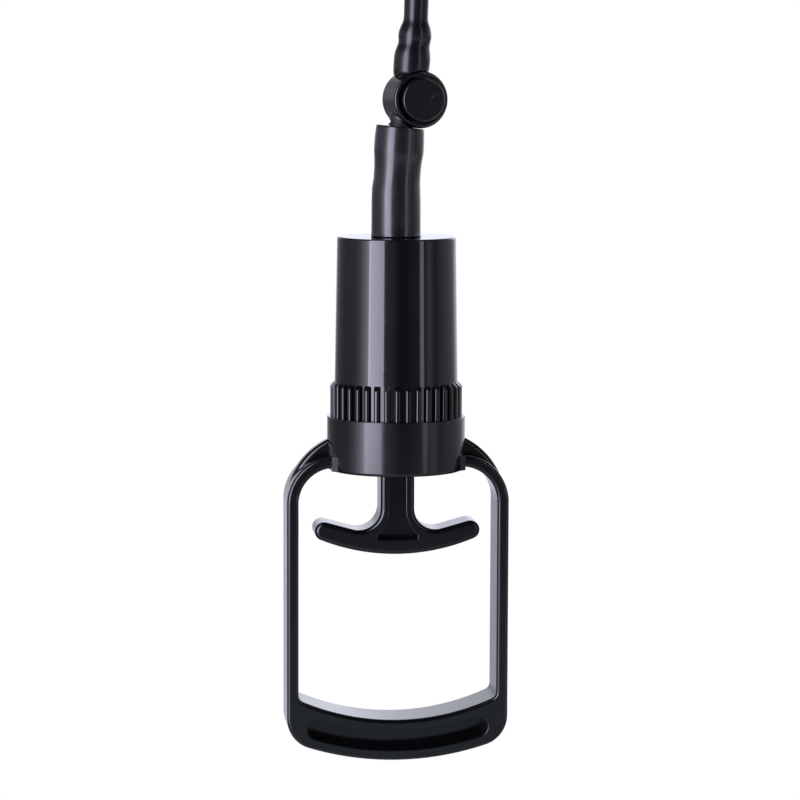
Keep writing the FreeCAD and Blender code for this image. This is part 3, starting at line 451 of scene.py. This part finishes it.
crest = add(marks_group, "ShaderNodeMapRange", {"To Min": 1.0, "To Max": 0.0})
patchy = add(marks_group, "ShaderNodeMapRange", {"From Min": 0.5, "From Max": 0.68})
hairlines = add(marks_group, "ShaderNodeMath", operation="MULTIPLY")
wire(marks_group, (lines, 0), (off_middle, 0), (off_middle, 0), (distance, 0),
     (distance, 0), (crest, "Value"), (marks_in, "Hairline Width"), (crest, "From Max"),
     (patches, 0), (patchy, "Value"), (crest, 0), (hairlines, 0), (patchy, 0), (hairlines, 1),
     (hairlines, 0), (marks_out, "Hairlines"))
per_metre = add(marks_group, "ShaderNodeMath", {0: 1.0}, operation="DIVIDE")
specks = add(marks_group, "ShaderNodeTexVoronoi")
dot = add(marks_group, "ShaderNodeMapRange",
          {"From Min": 0.1, "From Max": 0.16, "To Min": 1.0, "To Max": 0.0})
chosen = add(marks_group, "ShaderNodeMath", operation="LESS_THAN")
dust = add(marks_group, "ShaderNodeMath", operation="MULTIPLY")
wire(marks_group, (marks_in, "Speck Size"), (per_metre, 1), (per_metre, 0), (specks, "Scale"),
     (place, "Object"), (specks, "Vector"), (specks, "Distance"), (dot, "Value"),
     (specks, "Color"), (chosen, 0), (marks_in, "Speck Share"), (chosen, 1),
     (dot, 0), (dust, 0), (chosen, 0), (dust, 1), (dust, 0), (marks_out, "Dust"))
print("group:", marks_group.name, len(marks_group.nodes), "nodes")

# %% [markdown]
# ## The plastics and rubbers
#
# All the visible parts are black, and what tells them apart is how sharply they mirror the
# studio. The barrel comes from a polished mould and keeps hard-edged reflections, the valve
# has a finer sheen with more grain, the frame and the T are softer, and the rubbers are
# softest. So one recipe serves them all, and each material has its own numbers: two
# near-black tones that the slow mask mixes, a roughness range for the clean skin, and how
# much the hairlines and the dust add. Polystyrene-like plastics bend light more than the
# default, hence their IOR.

# %% Define the recipe for a black finish
MIX_A, MIX_B, MIX_RESULT = 6, 7, 2   # a Mix node's sockets when it mixes colours
MASK_LOW, MASK_HIGH = 0.3, 0.7       # where the slow mask starts and ends its change
DUST_DULLS = 0.4                     # roughness that a speck of dust adds


def black_finish(name, tones, roughness, ior, skin, scratched=0.1,
                 dusty=(0.05, 0.05, 0.05, 1)):
    """A material from two tones, a range of roughness, and the two shared effects. skin holds
    the sizes and depths of its waves and grain."""
    material = bpy.data.materials.new(name)
    material.use_nodes = True
    tree = material.node_tree
    shader = tree.nodes["Principled BSDF"]
    shader.inputs["IOR"].default_value = ior
    surface = use(tree, skin_group, **skin)
    handling = use(tree, marks_group)
    tone = add(tree, "ShaderNodeMix", {MIX_A: tones[0], MIX_B: tones[1]}, data_type="RGBA")
    shade = add(tree, "ShaderNodeMix", {MIX_B: dusty}, data_type="RGBA")
    clean = add(tree, "ShaderNodeMapRange", {"From Min": MASK_LOW, "From Max": MASK_HIGH,
                                             "To Min": roughness[0], "To Max": roughness[1]})
    scratch = add(tree, "ShaderNodeMath", {1: scratched}, operation="MULTIPLY_ADD")
    rough = add(tree, "ShaderNodeMath", {1: DUST_DULLS}, operation="MULTIPLY_ADD")
    bump = add(tree, "ShaderNodeBump", {"Strength": 1.0, "Distance": 1.0})
    wire(tree, (surface, "Mask"), (tone, 0), (tone, MIX_RESULT), (shade, MIX_A),
         (handling, "Dust"), (shade, 0), (shade, MIX_RESULT), (shader, "Base Color"),
         (surface, "Mask"), (clean, "Value"),
         (handling, "Hairlines"), (scratch, 0), (clean, 0), (scratch, 2),
         (handling, "Dust"), (rough, 0), (scratch, 0), (rough, 2),
         (rough, 0), (shader, "Roughness"),
         (surface, "Height"), (bump, "Height"), (bump, "Normal"), (shader, "Normal"))
    return material


def paint(material, *pieces):
    """Give each piece the material in its first slot, and only that."""
    for piece in pieces:
        piece.data.materials.clear()
        piece.data.materials.append(material)


# %% [markdown]
# ## The gloss and satin plastics
#
# The engineering model's own parts keep their meshes and get these finishes. The barrel's
# waves are long and very shallow, or its straight highlight would break up. The frame and
# the T come from a less polished mould, so their reflections have soft borders. The valve's
# nipples are scuffed by the rubber that is pushed over them, so their gloss is gone: a mask
# of the distance from the housing's axis adds roughness outside its round part.

# %% Finish the hard black parts
BLACK = (0.0018, 0.0022, 0.0028, 1)
BLACK_WORN = (0.0030, 0.0034, 0.0040, 1)
PLASTIC_IOR = 1.58

barrel_gloss = black_finish(
    "barrel gloss", (BLACK, BLACK_WORN), roughness=(0.05, 0.08), ior=PLASTIC_IOR,
    skin=dict(Wave_Size=0.02, Wave_Depth=0.000004, Grain_Size=0.0006, Grain_Depth=0.0000002))
frame_gloss = black_finish(
    "frame gloss", (BLACK, BLACK_WORN), roughness=(0.14, 0.18), ior=PLASTIC_IOR,
    skin=dict(Wave_Size=0.014, Wave_Depth=0.000006, Grain_Size=0.0005, Grain_Depth=0.0000004))
valve_satin = black_finish(
    "valve satin", (BLACK, BLACK_WORN), roughness=(0.06, 0.09), ior=PLASTIC_IOR,
    skin=dict(Wave_Size=0.01, Wave_Depth=0.000004, Grain_Size=0.0004, Grain_Depth=0.0000012))
paint(barrel_gloss, nodes["barrel"])
paint(frame_gloss, nodes["palm_frame"], nodes["pull_handle"])
paint(valve_satin, nodes["valve_body"], nodes["release_button"], nodes["valve_cap"])
print("IOR of the gloss plastics:", PLASTIC_IOR)

# %% Dull the valve's nipples
NIPPLE_DULL = 0.55
ROUND_EDGE = (VALVE_CLEAR + 0.05 * MM, VALVE_CLEAR + 0.35 * MM)
tree = valve_satin.node_tree
place = add(tree, "ShaderNodeTexCoord")
from_rear = add(tree, "ShaderNodeVectorMath", {1: valve_rear}, operation="SUBTRACT")
crossed = add(tree, "ShaderNodeVectorMath", {1: valve_axis}, operation="CROSS_PRODUCT")
off_axis = add(tree, "ShaderNodeVectorMath", operation="LENGTH")
dull = add(tree, "ShaderNodeMapRange", {"From Min": ROUND_EDGE[0], "From Max": ROUND_EDGE[1],
                                        "To Max": NIPPLE_DULL})
total = add(tree, "ShaderNodeMath", operation="ADD")
rough = tree.nodes["Principled BSDF"].inputs["Roughness"].links[0].from_node
wire(tree, (place, "Object"), (from_rear, 0), (from_rear, 0), (crossed, 0),
     (crossed, 0), (off_axis, 0), (off_axis, "Value"), (dull, "Value"),
     (rough, 0), (total, 0), (dull, 0), (total, 1),
     (total, 0), (tree.nodes["Principled BSDF"], "Roughness"))
print("nipples: roughness +", NIPPLE_DULL)

# %% [markdown]
# ## The rubbers
#
# Rubber is duller than plastic because its skin is rough at a scale too small to see, and
# talc and dust make it greyer. The sleeve has a coarse grain that shows as mottling in its
# highlight. The hose is smoother and keeps a soft shine.

# %% Finish the soft parts and seals
sleeve_rubber = black_finish(
    "sleeve rubber", ((0.007, 0.007, 0.008, 1), (0.011, 0.011, 0.0125, 1)),
    roughness=(0.185, 0.24), ior=1.6,
    skin=dict(Wave_Size=0.006, Wave_Depth=0.00002, Grain_Size=0.0005, Grain_Depth=0.000006),
    scratched=0.05)
hose_rubber = black_finish(
    "hose rubber", ((0.0045, 0.005, 0.0062, 1), (0.0068, 0.0073, 0.0088, 1)),
    roughness=(0.17, 0.22), ior=1.46,
    skin=dict(Wave_Size=0.005, Wave_Depth=0.00002, Grain_Size=0.0005, Grain_Depth=0.000002))
seal_rubber = black_finish(
    "seal rubber", ((0.01, 0.01, 0.011, 1), (0.016, 0.016, 0.017, 1)),
    roughness=(0.4, 0.5), ior=1.5,
    skin=dict(Wave_Size=0.004, Wave_Depth=0.00001, Grain_Size=0.0003, Grain_Depth=0.000002))
paint(sleeve_rubber, sleeve)
paint(hose_rubber, hose)
paint(seal_rubber, *(nodes[n] for n in
                     ("cup_seal", "exhaust_flap", "inlet_flap", "poppet_seal", "plug_oring")))
print("rubbers:", sleeve_rubber.name, "/", hose_rubber.name, "/", seal_rubber.name)

# %% [markdown]
# ## The parts inside
#
# The piston's stack is moulded in undyed nylon-like plastic, off-white and slightly
# cloudy, and the springs, screw and clip are bright steel wire with drawing lines along it.

# %% Finish the inner plastic, the plug and the steel
inner_plastic = black_finish(
    "undyed plastic", ((0.62, 0.6, 0.54, 1), (0.7, 0.68, 0.62, 1)),
    roughness=(0.35, 0.45), ior=1.5,
    skin=dict(Wave_Size=0.008, Wave_Depth=0.00001, Grain_Size=0.0005, Grain_Depth=0.000001),
    dusty=(0.4, 0.38, 0.34, 1))
plug_nylon = black_finish(
    "plug nylon", ((0.008, 0.008, 0.009, 1), (0.014, 0.014, 0.015, 1)),
    roughness=(0.25, 0.35), ior=1.53,
    skin=dict(Wave_Size=0.006, Wave_Depth=0.000008, Grain_Size=0.0004, Grain_Depth=0.000002))
spring_steel = black_finish(
    "spring steel", ((0.5, 0.5, 0.5, 1), (0.6, 0.59, 0.57, 1)),
    roughness=(0.2, 0.32), ior=1.5,
    skin=dict(Wave_Size=0.003, Wave_Depth=0.000002, Grain_Size=0.0002, Grain_Depth=0.0000005))
spring_steel.node_tree.nodes["Principled BSDF"].inputs["Metallic"].default_value = 1
paint(inner_plastic, nodes["piston"], nodes["seal_retainer"])
paint(plug_nylon, nodes["hose_plug"])
paint(spring_steel, *(nodes[n] for n in
                      ("return_spring", "release_spring", "piston_screw", "poppet_clip")))
print("inner finishes:", inner_plastic.name, "/", plug_nylon.name, "/", spring_steel.name)

# %% [markdown]
# ## The light
#
# Gloss black has almost no colour of its own: what it shows is the room. So the room is
# built for its reflections. A tall soft box stands at the left front and draws the long
# bright band down the barrel. A thin strip at the right front draws the faint line there.
# Both are dim at the foot, so that the low parts of the frame stay black, and fade out
# towards the top. Neither is seen by the camera.

# %% Build the studio's lamps
PUMP_AXIS = Vector((BARREL_TOP.x, BARREL_TOP.y, 0))
LAMP_LOW, LAMP_HIGH, LAMP_AWAY = -0.9, 1.1, 0.9


def ramp_of(tree, stops, low, high, tint=(1, 1, 1)):
    """A colour ramp from (place, tone) stops, whose places run from low to high."""
    ramp = add(tree, "ShaderNodeValToRGB")
    for _ in stops[2:]:
        ramp.color_ramp.elements.new(0.5)
    for element, (at, tone) in zip(ramp.color_ramp.elements, stops):
        element.position = (at - low) / (high - low)
        element.color = (*(tone * part for part in tint), 1)
    return ramp


def soft_lamp(name, turn, wide, radiance, colour, heights, inner=1.0):
    """A tall upright area lamp that faces the pump. turn is in degrees from the front, positive
    to the right, heights are (height, share of its strength) stops from its foot to its top,
    and inner is the share left at the edge nearest the front."""
    tall = LAMP_HIGH - LAMP_LOW
    lamp = bpy.data.objects.new(name, bpy.data.lights.new(name, "AREA"))
    bpy.context.scene.collection.objects.link(lamp)
    lamp.data.shape = "RECTANGLE"
    lamp.data.size, lamp.data.size_y = wide, tall
    lamp.data.color = colour
    lamp.data.energy = radiance * math.pi * wide * tall
    angle = math.radians(turn)
    away = Vector((math.sin(angle), -math.cos(angle), 0))
    middle_height = Vector((0, 0, (LAMP_LOW + LAMP_HIGH) / 2))
    lamp.matrix_world = (
        Matrix.Translation(PUMP_AXIS + away * LAMP_AWAY + middle_height)
        @ away.to_track_quat("Z", "Y").to_matrix().to_4x4()
    )
    lamp.visible_camera = False
    lamp.data.use_nodes = True
    tree = lamp.data.node_tree
    point = add(tree, "ShaderNodeNewGeometry")
    across = add(tree, "ShaderNodeSeparateXYZ")
    side_share = add(tree, "ShaderNodeMapRange", {"To Min": 1.0, "To Max": inner})
    place = add(tree, "ShaderNodeSeparateXYZ")
    height = add(tree, "ShaderNodeMapRange", {"From Min": LAMP_LOW, "From Max": LAMP_HIGH})
    height_share = ramp_of(tree, heights, LAMP_LOW, LAMP_HIGH)
    strength = add(tree, "ShaderNodeMath", operation="MULTIPLY")
    wire(tree, (point, "Parametric"), (across, 0), (across, "X"), (side_share, "Value"),
         (point, "Position"), (place, 0), (place, "Z"), (height, "Value"),
         (height, 0), (height_share, "Fac"), (side_share, 0), (strength, 0),
         (height_share, "Color"), (strength, 1),
         (strength, 0), (tree.nodes["Emission"], "Strength"))
    print(f"{name}: {lamp.data.energy:.1f} W")


soft_lamp("soft box", turn=-44, wide=0.48, radiance=6.6, colour=(0.93, 0.92, 1.16),
          heights=[(-0.9, 0.25), (-0.40, 0.25), (-0.36, 0.85), (-0.30, 1.0), (0.25, 1.0),
                   (0.7, 0.4), (1.1, 0.0)], inner=0.72)
soft_lamp("side strip", turn=42.8, wide=0.126, radiance=1.7, colour=(1.02, 0.95, 1.05),
          heights=[(-0.9, 0.1), (-0.37, 0.2), (-0.29, 0.95), (0.3, 1.0), (1.1, 0.0)])

# %% [markdown]
# ## The room round the pump
#
# The world stands for the walls of a studio, and its tones change with direction only.
# Towards the camera it is dark, which keeps the front faces black, and behind the object it
# is white, which every grazing edge catches. Narrow bright and dark stretches between them
# stand for the edges of panels. A radial gradient turns a direction into an angle round the
# pump, and one colour ramp gives each angle its tone.

# %% Build the room's tones
world = bpy.data.worlds.new("studio")
bpy.context.scene.world = world
world.use_nodes = True
tree = world.node_tree
ROOM_STRENGTH = 4
# how bright the room is in each direction round the pump: 0 is the front, 90 the right
ROOM_TONES = [
    (-180, 1.0), (-167, 0.5), (-157, 0.3), (-140, 0.2), (-120, 0.18), (-100, 0.25),
    (-90, 0.34), (-80, 0.66), (-72, 1.42), (-65, 2.4), (-59, 3.5), (-56, 1.0), (-30, 0.6),
    (-24, 0.32), (-10, 0.2), (-2, 0.06), (12, 0.06), (25, 0.13), (50, 0.2), (58, 0.55),
    (65, 0.38), (72, 0.17), (80, 0.25), (88, 0.3), (100, 0.33), (115, 0.36), (130, 0.42),
    (146, 0.95), (165, 0.95), (180, 1.0),
]
COOL, COOLER = (0.98, 1.0, 1.14), (0.85, 1.0, 1.15)
TURNS, HEIGHTS = (-180, 180), (-0.4, 0.8)
room = ramp_of(tree, [(turn, tone / ROOM_STRENGTH) for turn, tone in ROOM_TONES], *TURNS, COOL)

looking = add(tree, "ShaderNodeTexCoord")
split = add(tree, "ShaderNodeSeparateXYZ")
front = add(tree, "ShaderNodeMath", {1: -1.0}, operation="MULTIPLY")
flat = add(tree, "ShaderNodeCombineXYZ")
round_pump = add(tree, "ShaderNodeTexGradient", gradient_type="RADIAL")
wire(tree, (looking, "Generated"), (split, 0), (split, "Y"), (front, 0),
     (front, 0), (flat, "X"), (split, "X"), (flat, "Y"), (flat, 0), (round_pump, 0),
     (round_pump, "Fac"), (room, "Fac"))
print("room:", len(ROOM_TONES), "tones round the pump")

# %% [markdown]
# Real walls also change with height, and the front, the sides and the wall behind each in
# their own way. So three more ramps multiply the room's tones. A value of 1 leaves a tone as
# it is at the barrel's height, and the ceiling is dark everywhere. In front, a dim glow from
# the pale floor is added low down. Every ramp is kept between 0 and 1, as its swatch shows
# it: these three are divided by TALLEST and the result is scaled up again, and the room's
# tones and the glow are divided by the world's own strength.

# %% Let the tones change with height
TALLEST = 2.0
height = add(tree, "ShaderNodeMapRange", {"From Min": HEIGHTS[0], "From Max": HEIGHTS[1]})
wire(tree, (split, "Z"), (height, "Value"))


def height_ramp(stops, scale, tint=(1, 1, 1)):
    """A ramp over the height of a direction, with its tones divided by a scale."""
    ramp = ramp_of(tree, [(at, tone / scale) for at, tone in stops], *HEIGHTS, tint)
    wire(tree, (height, 0), (ramp, "Fac"))
    return ramp


front_rise = height_ramp([(0.15, 1.0), (0.35, 0.5), (0.6, 0.2)], TALLEST)
side_rise = height_ramp([(-0.2, 0.8), (-0.1, 0.95), (-0.03, 1.3), (0.02, 1.9), (0.2, 1.9),
                         (0.35, 1.0), (0.6, 0.2)], TALLEST)
rear_rise = height_ramp([(-0.2, 0.95), (-0.15, 0.95), (0.03, 1.1), (0.08, 1.35), (0.12, 1.75),
                         (0.16, 1.75), (0.19, 1.25), (0.21, 1.15), (0.35, 0.5), (0.6, 0.15)],
                        TALLEST)
front_floor = height_ramp([(-0.23, 0.36), (-0.19, 0.26), (-0.17, 0.2), (-0.155, 0.03),
                           (-0.10, 0.0)], ROOM_STRENGTH, COOLER)
# how far a direction points to the back chooses between front, sides and rear
aside = add(tree, "ShaderNodeMapRange", {"From Min": -0.2, "From Max": 0.2})
behind = add(tree, "ShaderNodeMapRange", {"From Min": 0.93, "From Max": 0.985})
side_or_front = add(tree, "ShaderNodeMix", data_type="RGBA")
rise = add(tree, "ShaderNodeMix", data_type="RGBA")
glow = add(tree, "ShaderNodeMix", {MIX_B: (0, 0, 0, 1)}, data_type="RGBA")
lifted = add(tree, "ShaderNodeVectorMath", operation="MULTIPLY")
shaded = add(tree, "ShaderNodeVectorMath", {"Scale": TALLEST}, operation="SCALE")
summed = add(tree, "ShaderNodeVectorMath", operation="ADD")
wire(tree, (split, "Y"), (aside, "Value"), (split, "Y"), (behind, "Value"),
     (aside, 0), (side_or_front, 0), (front_rise, 0), (side_or_front, MIX_A),
     (side_rise, 0), (side_or_front, MIX_B),
     (behind, 0), (rise, 0), (side_or_front, MIX_RESULT), (rise, MIX_A),
     (rear_rise, 0), (rise, MIX_B),
     (aside, 0), (glow, 0), (front_floor, 0), (glow, MIX_A),
     (room, "Color"), (lifted, 0), (rise, MIX_RESULT), (lifted, 1), (lifted, 0), (shaded, 0),
     (shaded, 0), (summed, 0), (glow, MIX_RESULT), (summed, 1),
     (summed, 0), (tree.nodes["Background"], "Color"))
tree.nodes["Background"].inputs["Strength"].default_value = ROOM_STRENGTH
print("world:", len(tree.nodes), "nodes")

# %% [markdown]
# What the camera sees behind the object is plain white, whatever the room's own light is: a
# Light Path node gives camera rays a plain background with a strength of 1, and all other
# rays see the room.

# %% Show the camera plain white
path = add(tree, "ShaderNodeLightPath")
white = add(tree, "ShaderNodeBackground", {"Color": (1, 1, 1, 1), "Strength": 1.0})
choose = add(tree, "ShaderNodeMixShader")
wire(tree, (path, "Is Camera Ray"), (choose, 0), (tree.nodes["Background"], 0), (choose, 1),
     (white, 0), (choose, 2), (choose, 0), (tree.nodes["World Output"], "Surface"))
print("background strength for the camera:", white.inputs["Strength"].default_value)

# %% [markdown]
# ## The floor
#
# The floor lies well below, because this object hangs from its hose. The camera sees it
# mostly as plain white, by the same trick as the background, and the rest is a pale matt
# surface that can carry a shadow.

# %% Lay the floor
FLOOR_HEIGHT, FLOOR_HALF = -0.75, 1.2
FLOOR_TONE, FLOOR_ROUGHNESS = 0.8, 0.9
FLOOR_WHITE = 0.6   # share of plain white that the camera sees; the rest keeps the shadow
bm = bmesh.new()
bmesh.ops.create_grid(bm, x_segments=1, y_segments=1, size=FLOOR_HALF,
                      matrix=Matrix.Translation((0, 0, FLOOR_HEIGHT)))
floor_mesh = bpy.data.meshes.new("floor")
bm.to_mesh(floor_mesh)
bm.free()
floor = bpy.data.objects.new("floor", floor_mesh)
bpy.context.scene.collection.objects.link(floor)
pale = bpy.data.materials.new("pale floor")
pale.use_nodes = True
tree = pale.node_tree
shader = tree.nodes["Principled BSDF"]
shader.inputs["Base Color"].default_value = (FLOOR_TONE, FLOOR_TONE, FLOOR_TONE, 1)
shader.inputs["Roughness"].default_value = FLOOR_ROUGHNESS
path = add(tree, "ShaderNodeLightPath")
share = add(tree, "ShaderNodeMath", {1: FLOOR_WHITE}, operation="MULTIPLY")
white = add(tree, "ShaderNodeEmission", {"Color": (1, 1, 1, 1), "Strength": 1.0})
choose = add(tree, "ShaderNodeMixShader")
wire(tree, (path, "Is Camera Ray"), (share, 0), (share, 0), (choose, 0),
     (shader, 0), (choose, 1), (white, 0), (choose, 2),
     (choose, 0), (tree.nodes["Material Output"], "Surface"))
floor_mesh.materials.append(pale)
print("floor at", FLOOR_HEIGHT)

# %% [markdown]
# ## The colour settings
#
# The colour settings are the plain ones, so that a tone renders as it is written.

# %% Set the plain colour settings
bpy.context.scene.view_settings.view_transform = "Standard"
